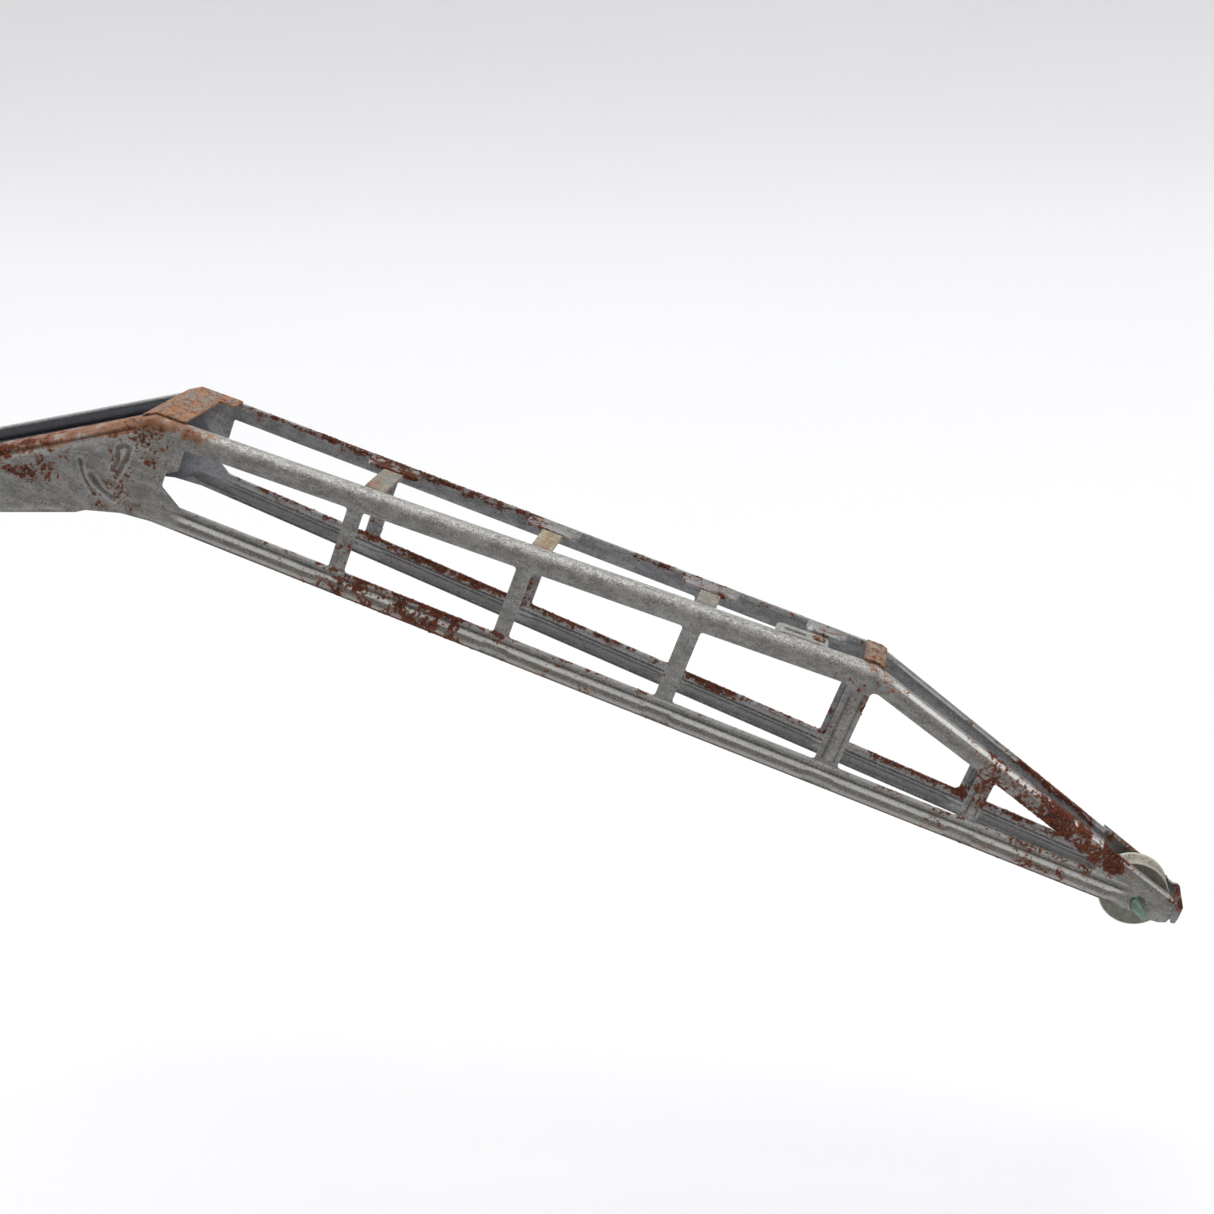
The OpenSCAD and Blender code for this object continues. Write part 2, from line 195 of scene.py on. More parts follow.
# %% Shader helpers: nodes
class Graph:
    """Adds nodes to a node tree, of a material, the sky or a modifier."""

    def __init__(self, tree):
        self.tree = tree

    def add(self, kind, settings=None, sockets=None, out=0):
        """Adds a node, sets it up, fills its sockets, and returns one output."""
        node = self.tree.nodes.new(kind)
        for key, value in (settings or {}).items():
            if key == "stops":
                self.set_stops(node.color_ramp.elements, value)
            else:
                setattr(node, key, value)
        for key, value in (sockets or {}).items():
            socket = node.inputs[key]
            if isinstance(value, Val):
                self.tree.links.new(value.socket, socket)
            elif isinstance(value, tuple) and socket.type == "RGBA":
                socket.default_value = tuple(value[:3]) + (1,)
            else:
                socket.default_value = value
        return Val(self, node.outputs[out]) if node.outputs else node

    def set_stops(self, stops, pairs):
        """Fills a ramp with (place, grey) or (place, colour) pairs."""
        while len(stops) > 1:
            stops.remove(stops[-1])
        for k, (where, shade) in enumerate(pairs):
            stop = stops.new(where) if k else stops[0]
            stop.position = where
            grey = isinstance(shade, (int, float))
            stop.color = ((shade,) * 3 if grey else tuple(shade)) + (1,)

    def axes(self, place):
        return [self.add("ShaderNodeSeparateXYZ", None, {0: place}, out=axis)
                for axis in range(3)]

    def blend(self, mask, first, second):
        """The first colour where the mask is 0, the second where it is 1."""
        return self.add(
            "ShaderNodeMix", {"data_type": "RGBA"}, {0: mask, 6: first, 7: second}, out=2)


print("node helpers ready")

# %% [markdown]
# Rust and wear are placed in millimetres on the lattice. So one more kind
# of graph turns a position into lattice coordinates, makes noise at a scale
# in millimetres, and measures how far a place is from a path.

# %% Shader helpers: places on the lattice
class LatticeGraph(Graph):
    """A graph that knows the lattice."""

    def place(self, raw):
        """A position socket turned into lattice coordinates, in millimetres."""
        def along(axis):
            return self.add("ShaderNodeVectorMath", {"operation": "DOT_PRODUCT"},
                            {0: raw, 1: axis}, out="Value")

        foot_x = FOOT_LENGTH * COS + EYE_RADIUS * SIN
        foot_z = FOOT_LENGTH * SIN - EYE_RADIUS * COS
        return self.add("ShaderNodeCombineXYZ", None, {
            0: along((COS / MM, 0, -SIN / MM)) + (FOOT_END_X - foot_x),
            1: along((0, 1 / MM, 0)),
            2: along((SIN / MM, 0, COS / MM)) + (FOOT_END_Z - foot_z)})

    def noise(self, place, scale, detail=4.0, rough=0.6, stretch=(1, 1, 1), seed=0.0):
        """Cloudy noise, about 0.5; scale is in features per unit of the place."""
        place = self.add(
            "ShaderNodeVectorMath", {"operation": "MULTIPLY_ADD"},
            {0: place, 1: stretch, 2: (seed, seed * 0.7, seed * 1.3)})
        return self.add(
            "ShaderNodeTexNoise", None,
            {"Vector": place, "Scale": scale, "Detail": detail, "Roughness": rough})

    def nearest(self, flat, paths):
        """Millimetres from a place (x, 0, z) to the nearest of some (x, z) paths."""
        best = None
        pieces = [piece for path in paths for piece in zip(path, path[1:])]
        for (ax, az), (bx, bz) in pieces:
            run = (bx - ax, 0.0, bz - az)
            square = run[0] ** 2 + run[2] ** 2
            start = self.add("ShaderNodeVectorMath", {"operation": "SUBTRACT"},
                             {0: flat, 1: (ax, 0.0, az)})
            share = self.add("ShaderNodeVectorMath", {"operation": "DOT_PRODUCT"},
                             {0: start, 1: tuple(v / square for v in run)}, out="Value")
            share = share.most(0.0).least(1.0)
            foot = self.add("ShaderNodeVectorMath", {"operation": "SCALE"},
                            {0: run, "Scale": share})
            gap = self.add("ShaderNodeVectorMath", {"operation": "DISTANCE"},
                           {0: start, 1: foot}, out="Value")
            best = best.least(gap) if best else gap
        return best


print("lattice helpers ready")

# %% [markdown]
# Last comes the material itself. Every finish here is one Principled
# surface, and what changes over it is its colour, roughness, metal and bump.

# %% Shader helpers: a finish
class Finish(LatticeGraph):
    """One node material, with a single Principled surface."""

    def __init__(self, name):
        self.material = bpy.data.materials.new(name)
        self.material.use_nodes = True
        super().__init__(self.material.node_tree)
        self.tree.nodes.clear()

    def position(self):
        return self.place(self.add("ShaderNodeTexCoord", out="Object"))

    def surface(self, colour, roughness, metallic=0.0, height=None, depth=0.05):
        """Finishes the material: height, 0 to 1, is depth millimetres tall."""
        sockets = {"Base Color": colour, "Roughness": roughness, "Metallic": metallic}
        if height is not None:
            sockets["Normal"] = self.add(
                "ShaderNodeBump", None,
                {"Height": height, "Distance": depth * MM, "Strength": 1.0})
        shader = self.add("ShaderNodeBsdfPrincipled", None, sockets)
        self.add("ShaderNodeOutputMaterial", None, {"Surface": shader})
        return self.material


print("finishes can be made")

# %% [markdown]
# The floor is a wide pale sheet well under the jib. It curves up far behind
# into a wall, as a hanging roll of paper does, so that no horizon shows. It
# is matt and almost white, with a very faint mottle so that it isn't a dead
# flat colour. In front of the jib it is a deeper grey: less light then
# comes back up from it, and the pressed ribs throw clear shadows. A flat
# plane would be simpler, but its far edge would cross the view.

# %% Floor
FLOOR_Z = -0.085
HALF_ROLL = 5.0
WALL_AT, WALL_RADIUS, WALL_HEIGHT, WALL_STEPS = 1.1, 1.2, 2.5, 16
GREY_FROM, GREY_TO = -0.025, -0.22


def mesh_object(name, verts, faces):
    mesh = bpy.data.meshes.new(name)
    mesh.from_pydata([tuple(v) for v in verts], [], faces)
    mesh.update()
    obj = bpy.data.objects.new(name, mesh)
    bpy.context.scene.collection.objects.link(obj)
    return obj


def paper_roll():
    profile = [(-HALF_ROLL, FLOOR_Z), (WALL_AT, FLOOR_Z)]
    for k in range(1, WALL_STEPS + 1):
        turn = math.radians(90 * k / WALL_STEPS)
        profile.append((WALL_AT + WALL_RADIUS * math.sin(turn),
                        FLOOR_Z + WALL_RADIUS * (1 - math.cos(turn))))
    profile.append((WALL_AT + WALL_RADIUS, FLOOR_Z + WALL_RADIUS + WALL_HEIGHT))
    verts = [(x, y, z) for y, z in profile for x in (-HALF_ROLL, HALF_ROLL)]
    faces = [(2 * k, 2 * k + 1, 2 * k + 3, 2 * k + 2) for k in range(len(profile) - 1)]
    roll = mesh_object("floor", verts, faces)
    roll.data.shade_smooth()
    return roll


def paper_finish():
    f = Finish("pale floor")
    place = f.add("ShaderNodeTexCoord", out="Object")
    mottle = f.noise(place, 3.0, 2.0)
    tone = f.blend(mottle, (0.86, 0.86, 0.87), (0.90, 0.90, 0.90))
    front = f.axes(place)[1].ramp(GREY_FROM, GREY_TO)
    return f.surface(f.blend(front, tone, (0.40, 0.40, 0.405)), 0.9)


floor = paper_roll()
floor.data.materials.append(paper_finish())
print("paper roll with", len(floor.data.polygons), "faces")

# %% [markdown]
# The light is that of a small cloth tent: a broad soft lamp overhead draws
# a bright line along each chord, and a sky that is dimmer low down fills
# the shadows without flattening them. A row of area lamps would mirror as
# hard boxes in the bare metal, and one sun lamp with a wide disc does not.

# %% Light
SKY_STRENGTH = 0.65
SKY_TONES = ((0.0, 0.22), (0.35, 0.48), (0.8, 1.0))
LAMP_STRENGTH, LAMP_WIDTH = 2.4, math.radians(55)
LAMP_SHINES = Vector((0.12, -0.22, -1.0))


def make_sky():
    world = bpy.data.worlds.new("light tent")
    world.use_nodes = True
    g = Graph(world.node_tree)
    height = g.axes(g.add("ShaderNodeTexCoord", out="Generated"))[2]
    stops = [(where, (tone * 0.97, tone * 0.98, tone)) for where, tone in SKY_TONES]
    glow = g.add("ShaderNodeValToRGB", {"stops": stops}, {0: height})
    background = g.tree.nodes["Background"]
    background.inputs["Strength"].default_value = SKY_STRENGTH
    g.tree.links.new(glow.socket, background.inputs["Color"])
    return world


bpy.context.scene.world = make_sky()
lamp = bpy.data.lights.new("tent top", "SUN")
lamp.energy = LAMP_STRENGTH
lamp.angle = LAMP_WIDTH
tent_top = bpy.data.objects.new("tent top", lamp)
bpy.context.scene.collection.objects.link(tent_top)
tent_top.rotation_euler = LAMP_SHINES.to_track_quat("-Z", "Y").to_euler()
bpy.context.scene.view_settings.view_transform = "Standard"
print("sky and one soft lamp overhead")

# %% [markdown]
# The tin has a thin satin grey paint. Rust starts at edges and where paint
# is thin, and differs from place to place: it is heavy at the foot, at the
# bend of the top chord and on the head slope. So each frame gets two bands
# of rust strength along its length, one for its upper half and one for its
# lower, and noise decides where rust breaks through. A painted image could
# place each spot, but it needs seams and one size; sums have neither.

# %% Where rust breaks through
ALONG_FROM, ALONG_TO = -60.0, 105.0
KNEE_X, BEND_X = -24.77, 60.29
FOOT_SLOPE, HEAD_SLOPE = 0.643, -0.3012
LOW_CHORD = 2.8
HALFWAY, FALLS_FROM, FALL = 6.4, 62.0, 0.095


def band(g, x, pairs):
    """A strength that changes along the lattice, from (x, strength) pairs."""
    span = ALONG_TO - ALONG_FROM
    stops = [((at - ALONG_FROM) / span, strength) for at, strength in pairs]
    return g.add("ShaderNodeValToRGB", {"stops": stops}, {0: (x - ALONG_FROM) / span})


def top_edge(x):
    """The top edge is the lowest of three lines: foot, lattice and head."""
    line = (x * TOP_RISE + FRAME_HEIGHT).least((x - KNEE_X) * FOOT_SLOPE + top_at(KNEE_X))
    return line.least((x - BEND_X) * HEAD_SLOPE + top_at(BEND_X))


def rust_field(g, place, upper, lower, up_deep, low_from):
    """Where rust breaks through: about 0.5 in sound paint, 0.7 in deep rust.

    upper, lower: (x, strength) pairs along the lattice. up_deep: how far the
    upper rust reaches below the top edge, and low_from: how high on the
    bottom chord the lower rust starts, in millimetres. The line between the
    halves falls past the bend, as the head slope does.
    """
    x, y, z = g.axes(place)
    deep = top_edge(x) - z
    is_upper = (z - (HALFWAY - (x - FALLS_FROM).most(0.0) * FALL)).ramp(-0.6, 0.6)
    up_rust = band(g, x, upper) * is_upper * deep.ramp(up_deep + 0.9, up_deep - 0.5)
    low_rust = band(g, x, lower) * (1.0 - is_upper) * z.ramp(low_from - 0.5, low_from + 0.4)
    edges = abs(z - LOW_CHORD).ramp(0.45, 0.0) + abs(z).ramp(0.4, 0.0)
    edges = edges * x.ramp(-20.0, -18.0)
    clouds = g.noise(place, 0.55, 6.0, 0.62)
    crumbs = g.noise(place, 2.3, 6.0, 0.7, seed=11.0)
    field = clouds * 0.5 + crumbs * 0.5 + (up_rust + low_rust) * 0.25 + edges * 0.06
    return field, clouds, crumbs


print("rust runs from x", ALONG_FROM, "to", ALONG_TO)

# %% [markdown]
# Light and shade are painted in lines too. Bands of painted shade and painted highlight lie
# along the bottom chord, over the groove and bead of its rib, and painted shade outlines the
# ribs of the two broad uprights. Past the bend the shoulder is sharper, and that is painted: a
# painted shade over it, with one painted highlight line.

# %% Painted shade and highlight lines
UP_4, UP_5 = 59.36, 76.42
RIB_FOOT = 3.2
# painted shade for creases, rib edges and the chord's underside, and a painted highlight for the
# chord's upper edge
PAINTED_SHADE, PAINTED_EDGE_HIGHLIGHT = (0.050, 0.045, 0.040), (0.55, 0.54, 0.51)
# a painted shade and a painted highlight for the shoulder of the head slope
SHADE, GLINT = (0.150, 0.145, 0.140), (0.70, 0.69, 0.66)


def chord_lines(f, paint, x, z, grain, lines):
    """lines: (z, half width, tone) of each band of painted shade and painted highlight along the
    bottom chord.
    """
    on_chord = x.ramp(-20.0, -17.5) * x.ramp(96.5, 95.0)
    for where, reach, tone in lines:
        # each line paints a band of shade or highlight along the chord
        near = abs(z + (grain - 0.5) * 0.25 - where).ramp(reach, reach * 0.3) * on_chord
        paint = f.blend(near * 0.75, paint, tone)
    return paint


def rib_outlines(f, paint, x, z):
    for middle, side, head in ((UP_4, 0.70, 11.9), (UP_5, 0.56, 7.6)):
        # painted shade along both edges of the rib on each broad upright
        near = (abs(abs(x - middle) - side).ramp(0.22, 0.05)
                * z.ramp(RIB_FOOT, RIB_FOOT + 0.5) * z.ramp(head, head - 0.5))
        paint = f.blend(near * 0.6, paint, PAINTED_SHADE)
    return paint


def head_shoulder(f, paint, deep, on_head):
    # painted shade over the shoulder past the bend, then a painted highlight line along its
    # crest
    paint = f.blend(on_head * deep.ramp(1.5, 1.0) * 0.6, paint, SHADE)
    return f.blend(on_head * abs(deep - 0.27).ramp(0.24, 0.10) * 0.9, paint, GLINT)


print("wear lines ready")

# %% [markdown]
# A few thin creases were pressed into the web of the near foot: one long stroke, two short ones,
# and a narrow loop that is open below. They are too shallow to be worth a solid or a cut in the
# mesh, so they are drawn as dark lines of painted shade that dip in the bump, each with a pale
# rim of painted highlight.

# %% Pressed creases
CREASES = [
    [(-40.31, 0.76), (-33.24, 5.17), (-26.31, 9.63)],
    [(-31.3, 3.9), (-30.4, 2.2), (-28.9, 0.75)],
    [(-29.7, 2.7), (-28.3, 1.6), (-26.5, 0.95)],
    [(-27.5, 7.0), (-27.2, 5.4), (-27.5, 4.3)],
    [(-26.2, 7.5), (-26.3, 6.1), (-26.9, 3.6)],
    [(-27.5, 7.0), (-26.9, 7.55), (-26.2, 7.5)],
]


def crease_masks(f, x, z, grain, paths):
    """One mask for the creases' painted shade, and one for the painted highlight on the rims
    beside them.
    """
    flat = f.add("ShaderNodeCombineXYZ", None, {0: x, 1: 0.0, 2: z})
    gap = f.nearest(flat, paths) + (grain - 0.5) * 0.2
    return gap.ramp(0.28, 0.06), gap.ramp(0.75, 0.5) * gap.ramp(0.2, 0.4)


print("creases:", len(CREASES))

# %% [markdown]
# Now the finish itself, in layers from the paint up: bands of painted shade and painted
# highlight, bare metal that is drawn more to the crown of the shoulder as a painted highlight,
# specks, an orange film that runs down from the top edge, a stain round each patch of rust, and
# the dark red rust. The rust and its crumbs also stand up a little, in the bump.

# %% Painted and rusted tin
# the first colour is the pale painted highlight beside each crease
CREASE_RIM, BARE_TIN_AND_HIGHLIGHT = (0.50, 0.475, 0.43), (0.60, 0.59, 0.55)
DARK_SPECK, PALE_SPECK = (0.060, 0.052, 0.044), (0.58, 0.56, 0.51)
FILM = ((0.15, 0.040, 0.009), (0.36, 0.135, 0.038))
STAIN = ((0.10, 0.030, 0.010), (0.36, 0.14, 0.045))
RUST = ((0.026, 0.007, 0.004), (0.25, 0.055, 0.018))


def rusted_tin(name, rust, film, tones, lines, creases=(), inside=None):
    """rust: what rust_field needs. film: (x, strength) pairs. inside: the colour of a painted
    shade on the foot's inner face.
    """
    f = Finish(name)
    place = f.position()
    x, y, z = f.axes(place)
    deep = top_edge(x) - z
    field, clouds, crumbs = rust_field(f, place, **rust)
    grain = f.noise(place, 7.5, 3.0, 0.6, seed=5.0)
    streaks = f.noise(place, 1.1, 5.0, 0.62, stretch=(0.45, 1.0, 1.0), seed=23.0)
    specks = f.noise(place, 4.6, 4.0, 0.75, seed=31.0)
    on_head = x.ramp(61.0, 64.0)
    height = crumbs * 0.5 + grain * 0.25 + clouds * 0.3

    paint = f.blend(streaks.ramp(0.36, 0.64), *tones)
    paint = chord_lines(f, paint, x, z, grain, lines)
    paint = rib_outlines(f, paint, x, z)
    if creases:
        # painted shade in each crease, and a painted highlight along its rim
        crease, rim = crease_masks(f, x, z, grain, creases)
        paint = f.blend(rim * 0.5, paint, CREASE_RIM)
        paint = f.blend(crease * 0.65, paint, PAINTED_SHADE)
        height = height + rim * 0.5 - crease * 0.8
    paint = head_shoulder(f, paint, deep, on_head)
    # painted highlight: the crown of the shoulder, off the head slope, gets more bare metal
    crown_highlight = deep.ramp(1.2, 0.3) * (1.0 - on_head)
    bare_and_highlight = (grain * 0.55 + crumbs * 0.45 + crown_highlight * 0.10).ramp(0.56, 0.66)
    # bare tin, partly random wear and partly the painted highlight on the crown
    paint = f.blend(bare_and_highlight * 0.75, paint, BARE_TIN_AND_HIGHLIGHT)
    paint = f.blend(specks.ramp(0.56, 0.64) * 0.8, paint, DARK_SPECK)
    paint = f.blend(specks.ramp(0.43, 0.34) * 0.7, paint, PALE_SPECK)
    # painted shade: the inner face of the foot is darkened almost to black, all but its top edge
    if inside:
        paint = f.blend(x.ramp(-21.5, -26.0) * deep.ramp(0.0, 0.3) * 0.85, paint, inside)

    film_on = (clouds * 0.5 + streaks * 0.15 + crumbs * 0.35
               + band(f, x, film) * deep.ramp(3.4, 0.2) * 0.30 - 0.05).ramp(0.57, 0.65)
    stain_on = field.ramp(0.625, 0.685)
    rust_on = field.ramp(0.675, 0.695)
    colour = f.blend(film_on * 0.85, paint, f.blend(crumbs.ramp(0.38, 0.62), *FILM))
    colour = f.blend(stain_on * 0.75, colour, f.blend(crumbs, *STAIN))
    colour = f.blend(rust_on, colour, f.blend(crumbs.ramp(0.42, 0.66), *RUST))
    rough = 0.42 + streaks * 0.12 - bare_and_highlight * 0.08 + film_on * 0.25 + rust_on * 0.38
    metal = 0.12 + bare_and_highlight * 0.35 - film_on * 0.12 - rust_on * 0.45
    height = height + rust_on * (crumbs + 0.2)
    return f.surface(colour, rough, metal.most(0.0), height, 0.17)


print("tin layers ready")

# %% [markdown]
# The numbers below say where each frame is rusty. They are pairs: a place
# along the lattice, and how strong the rust is there, from 0 to 1. On the
# near frame, which is the right one, rust may reach right down the web. On
# the left one, seen from its inside, it keeps to the flanges and the upper
# edge of the bottom chord.

# %% Rust of the near frame
NEAR_RUST = {
    "upper": [(-60, 0.80), (-44, 0.80), (-38, 0.62), (-33, 0.55), (-30, 0.34), (-27, 0.48),
              (-25, 0.56), (-22, 0.38), (-16, 0.22), (-12, 0.10), (8, 0.06), (38, 0.05),
              (54, 0.12), (57.5, 0.34), (61, 0.44), (63, 0.20), (74, 0.28), (75.6, 0.66),
              (77.5, 0.62), (79, 0.55), (81, 0.66), (86, 1.0), (90, 0.72), (94.5, 0.95),
              (96, 0.12), (101, 0.45)],
    "lower": [(-60, 0.75), (-42, 0.70), (-36, 0.55), (-31, 0.30), (-27, 0.42), (-20, 0.20),
              (-8, 0.20), (-2, 0.42), (4, 0.66), (13, 0.76), (18, 0.38), (30, 0.30),
              (46, 0.22), (60, 0.12), (74, 0.35), (84, 0.42), (91, 0.50), (94, 0.10),
              (105, 0.10)],
    "up_deep": 9.0, "low_from": -1.0}
NEAR_FILM = [(-60, 0.72), (-30, 0.70), (-25, 0.85), (-18, 0.50), (-12, 0.20), (0, 0.10),
             (18, 0.10), (24, 0.0), (56, 0.15), (60, 0.5), (66, 0.2), (82, 0.45),
             (95, 0.5), (105, 0.2)]
# bands of painted shade and painted highlight on the near bottom chord: shade on the underside,
# a lighter band, shade on the rib's lower side, a highlight on its crest, shade in the groove
# above it and a highlight on the upper edge
NEAR_LINES = [
    (0.10, 0.30, PAINTED_SHADE), (0.58, 0.36, (0.42, 0.40, 0.36)), (1.15, 0.42, (0.165, 0.142, 0.118)),
    (1.66, 0.30, (0.88, 0.87, 0.83)), (2.08, 0.24, PAINTED_SHADE), (2.72, 0.24, PAINTED_EDGE_HIGHLIGHT)]
near_tin = rusted_tin(
    "near grey tin", NEAR_RUST, NEAR_FILM, ((0.200, 0.191, 0.177), (0.336, 0.325, 0.305)),
    NEAR_LINES, CREASES)
print("near tin ready")

# %% [markdown]
# The far frame shows its inside, which is in more shade. That shade is painted: its grey is
# painted bluer, its foot is painted almost black, and the line where the rib dips is painted
# dark.

# %% Rust of the far frame
FAR_RUST = {
    "upper": [(-60, 0.05), (-26, 0.10), (-22, 0.55), (-6, 0.75), (2, 0.85), (8, 0.80),
              (18, 0.75), (22, 0.40), (34, 0.62), (38, 0.55), (46, 0.45), (54, 0.40),
              (60, 0.30), (66, 0.10), (76, 0.40), (82, 0.95), (88, 0.90), (92, 0.35),
              (98, 0.65), (105, 0.75)],
    "lower": [(-60, 0.0), (-24, 0.05), (-16, 0.35), (2, 0.60), (16, 0.85), (21, 0.60),
              (36, 0.40), (44, 0.85), (50, 0.45), (62, 0.50), (72, 0.62), (86, 0.55),
              (105, 0.3)],
    "up_deep": 1.1, "low_from": 1.9}
FAR_FILM = [(-60, 0.05), (-24, 0.10), (-20, 0.45), (4, 0.4), (10, 0.15), (60, 0.15),
            (90, 0.2), (98, 0.8), (105, 0.4)]
# bands of painted shade and painted highlight along the far bottom chord's rib, darkest where
# the rib dips
FAR_LINES = [
    (0.12, 0.30, PAINTED_SHADE), (0.76, 0.40, (0.42, 0.415, 0.40)), (1.22, 0.22, (0.12, 0.12, 0.125)),
    (1.56, 0.20, (0.40, 0.395, 0.39)), (1.84, 0.22, (0.014, 0.012, 0.011)),
    (2.16, 0.24, (0.38, 0.37, 0.35)), (2.72, 0.20, PAINTED_EDGE_HIGHLIGHT)]
# painted shade: the far grey is bluer than the near one, and inside= is the foot's painted shade
far_tin = rusted_tin(
    "far grey tin", FAR_RUST, FAR_FILM, ((0.185, 0.188, 0.200), (0.315, 0.318, 0.335)),
    FAR_LINES, inside=(0.035, 0.040, 0.056))
print("far tin ready")

# %% [markdown]
# The straps across the top were painted pale. Their paint is chipped down
# to cream primer, and orange bleeds through it. One function makes them
# all, and its numbers say how far the rust has got on each.

# %% Chipped straps
ORANGE = ((0.17, 0.042, 0.013), (0.36, 0.14, 0.052))
KNEE_ORANGE = ((0.20, 0.055, 0.016), (0.44, 0.18, 0.065))
SOOT, DEEP_RUST = (0.07, 0.06, 0.05), ((0.05, 0.010, 0.005), (0.26, 0.055, 0.018))


def chipped_strap(name, pale, under, rusty, spread=0.0, stain=ORANGE):
    """rusty: how much deep rust, and spread: how far the orange stain reaches."""
    f = Finish(name)
    place = f.position()
    clouds = f.noise(place, 0.9, 5.0, 0.65, seed=3.0)
    crumbs = f.noise(place, 3.0, 5.0, 0.7, seed=17.0)
    streaks = f.noise(place, 1.6, 4.0, 0.6, stretch=(0.8, 0.16, 0.8), seed=9.0)
    soot = f.noise(place, 4.6, 3.0, 0.7, seed=31.0).ramp(0.57, 0.66)
    chips = (clouds * 0.6 + crumbs * 0.4).ramp(0.47, 0.55)
    bleed = (streaks * 0.55 + crumbs * 0.45 + rusty * 0.12 + spread).ramp(0.56, 0.66)
    deep = (clouds * 0.5 + crumbs * 0.5 + rusty * 0.16).ramp(0.655, 0.69)
    colour = f.blend(chips, pale, under)
    colour = f.blend(soot * 0.8, colour, SOOT)
    colour = f.blend(bleed * 0.88, colour, f.blend(streaks.ramp(0.42, 0.6), *stain))
    colour = f.blend(deep, colour, f.blend(crumbs, *DEEP_RUST))
    height = crumbs * 0.6 + chips * 0.4 + deep * 0.4
    return f.surface(colour, 0.55 + deep * 0.3, 0.10, height, 0.14)


strap_grey = chipped_strap("strap grey", (0.26, 0.25, 0.22), (0.40, 0.36, 0.29), 0.45)
strap_cream = chipped_strap("strap cream", (0.36, 0.31, 0.22), (0.58, 0.50, 0.34), 0.40)
strap_rusty = chipped_strap("strap rusty", (0.32, 0.27, 0.20), (0.50, 0.42, 0.30), 0.80, 0.03)
knee_rust = chipped_strap(
    "knee rust", (0.30, 0.26, 0.21), (0.50, 0.42, 0.32), 0.70, 0.045, KNEE_ORANGE)
print("strap finishes ready")

# %% [markdown]
# The wire pin has gone green, and the axle and its bushes are dull turned steel. The sheave is
# olive on its faces. Its groove is beige and its rim pale: partly its own colour, partly painted
# highlight for the overhead light on the groove's walls and on the rim. So its colour follows
# the distance from its axis and from its middle.

# %% Wire, steel and sheave
SHEAVE_Y, SHEAVE_HALF = 0.55, 1.4
BROWN = (0.13, 0.075, 0.042)


def dull_metal(name, dark, light, roughness, metallic, spots=(0.2, 0.08, 0.04)):
    f = Finish(name)
    place = f.position()
    clouds = f.noise(place, 0.7, 5.0, 0.6, seed=41.0)
    crumbs = f.noise(place, 3.4, 5.0, 0.7, seed=47.0)
    tone = f.blend((clouds * 0.6 + crumbs * 0.4).ramp(0.36, 0.64), dark, light)
    colour = f.blend(crumbs.ramp(0.63, 0.70) * 0.7, tone, spots)
    rough = roughness + crumbs * 0.15
    return f.surface(colour, rough, metallic, crumbs * 0.7 + clouds * 0.3, 0.06)


def sheave_paint():
    f = Finish("sheave olive")
    place = f.position()
    x, y, z = f.axes(place)
    spoke = f.add("ShaderNodeCombineXYZ", None, {0: x - AXIS_X, 1: 0.0, 2: z - AXIS_Z})
    radius = f.add("ShaderNodeVectorMath", {"operation": "LENGTH"}, {0: spoke}, out="Value")
    clouds = f.noise(place, 0.9, 5.0, 0.6, seed=41.0)
    crumbs = f.noise(place, 3.4, 5.0, 0.7, seed=47.0)
    faces = f.blend((clouds * 0.6 + crumbs * 0.4).ramp(0.38, 0.62),
                    (0.150, 0.150, 0.118), (0.245, 0.245, 0.200))
    # the groove's beige is partly its own colour and partly painted highlight
    groove = f.blend(crumbs.ramp(0.36, 0.62), (0.34, 0.31, 0.24), (0.60, 0.57, 0.48))
    inner = abs(y - SHEAVE_Y).ramp(SHEAVE_HALF - 0.10, SHEAVE_HALF - 0.25)
    colour = f.blend(inner, faces, groove)
    # a pale band round the rim, partly its own colour and partly painted highlight
    colour = f.blend(radius.ramp(3.70, 3.82) * 0.8, colour, (0.58, 0.56, 0.49))
    stained = (clouds * 0.5 + crumbs * 0.5 + inner * 0.03).ramp(0.57, 0.64)
    colour = f.blend(stained * 0.7, colour, BROWN)
    return f.surface(colour, 0.48 + crumbs * 0.15, 0.10, crumbs, 0.06)


olive = sheave_paint()
green_wire = dull_metal(
    "green wire", (0.10, 0.17, 0.13), (0.26, 0.37, 0.30), 0.55, 0.25, (0.05, 0.06, 0.05))
turned_steel = dull_metal("turned steel", (0.28, 0.27, 0.26), (0.46, 0.45, 0.44), 0.36, 0.85)
bush_steel = dull_metal("bush steel", (0.20, 0.18, 0.15), (0.34, 0.31, 0.27), 0.5, 0.6)
print("small finishes ready")

# %% [markdown]
# The two frames are right as solids, but their rounded shoulders are made
# of narrow flats. A copy of each mesh is welded together and shaded smooth
# across gentle corners only, so the shoulder reads as one soft curve while
# every cut edge stays crisp. A subdivided surface would round those edges
# too. The copy stands in for the solid. The small straps get a softened
# edge as well, and the sheave a smooth turned rim.

# %% Smooth skins
SAME_POINT, NO_LENGTH = 2e-6, 1e-7
SHOULDER_ANGLE, TURNED_ANGLE, CRISP_ANGLE = 32, 25, 40
SOFT_EDGE = 0.07


